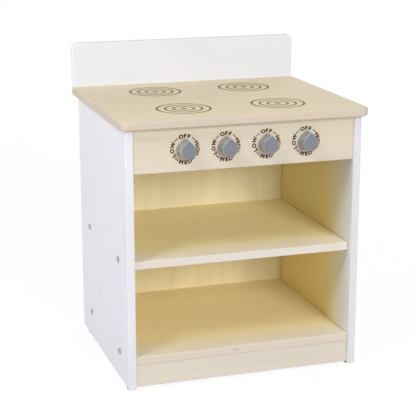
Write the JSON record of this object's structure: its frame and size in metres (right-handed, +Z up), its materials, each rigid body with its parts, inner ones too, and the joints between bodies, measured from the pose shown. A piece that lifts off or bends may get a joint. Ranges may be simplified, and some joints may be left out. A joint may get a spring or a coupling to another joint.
{
  "type": "toy stove",
  "caption": "Wooden play stove: white sides and backsplash, birch counter with printed burners, turning drop-shaped knobs over two open compartments",
  "frame": {"origin": "on the floor, under the middle of the whole stove's box", "axes": "+X to the right seen from the front, +Y to the back, +Z up"},
  "size_m": [0.504, 0.4444, 0.632],
  "materials": {
    "white_board": "white satin coating over the board",
    "birch_ply": "clear satin lacquer",
    "knob_paint": "grey matte paint",
    "brass": "plain",
    "steel": "zinc plated",
    "zinc": "cast, dull",
    "nylon": "natural",
    "dowel_beech": "raw",
    "glide_plastic": "moulded"
  },
  "bodies": {
    "cabinet": {"left_side_panel": "white_board", "right_side_panel": "white_board", "backsplash": "white_board", "countertop": "birch_ply", "control_panel": "birch_ply", "middle_shelf": "birch_ply", "bottom_shelf": "birch_ply", "toe_kick": "birch_ply", "back_panel": "birch_ply", "shelf_bolts": "steel", "barrel_nuts": "steel", "cam_bolts": "steel", "backsplash_screws": "steel", "back_panel_screws": "steel", "cam_locks": "zinc", "knob_bush_1": "nylon", "knob_bush_2": "nylon", "knob_bush_3": "nylon", "knob_bush_4": "nylon", "shelf_dowels": "dowel_beech", "control_panel_dowels": "dowel_beech", "countertop_dowels": "dowel_beech", "toe_kick_dowels": "dowel_beech", "front_left_glide": "glide_plastic", "back_left_glide": "glide_plastic", "front_right_glide": "glide_plastic", "back_right_glide": "glide_plastic"},
    "dial_1": {"knob_1": "knob_paint", "knob_insert_1": "brass", "knob_screw_1": "steel", "knob_washer_1": "steel"},
    "dial_2": {"knob_2": "knob_paint", "knob_insert_2": "brass", "knob_screw_2": "steel", "knob_washer_2": "steel"},
    "dial_3": {"knob_3": "knob_paint", "knob_insert_3": "brass", "knob_screw_3": "steel", "knob_washer_3": "steel"},
    "dial_4": {"knob_4": "knob_paint", "knob_insert_4": "brass", "knob_screw_4": "steel", "knob_washer_4": "steel"}
  },
  "joints": [
    {"name": "knob_1_turn", "type": "hinge", "parent": "cabinet", "child": "dial_1", "pos_m": [-0.123, -0.19475, 0.478], "axis": [0, 1, 0], "continuous": true},
    {"name": "knob_2_turn", "type": "hinge", "parent": "cabinet", "child": "dial_2", "pos_m": [-0.041, -0.19475, 0.478], "axis": [0, 1, 0], "continuous": true},
    {"name": "knob_3_turn", "type": "hinge", "parent": "cabinet", "child": "dial_3", "pos_m": [0.041, -0.19475, 0.478], "axis": [0, 1, 0], "continuous": true},
    {"name": "knob_4_turn", "type": "hinge", "parent": "cabinet", "child": "dial_4", "pos_m": [0.123, -0.19475, 0.478], "axis": [0, 1, 0], "continuous": true}
  ]
}
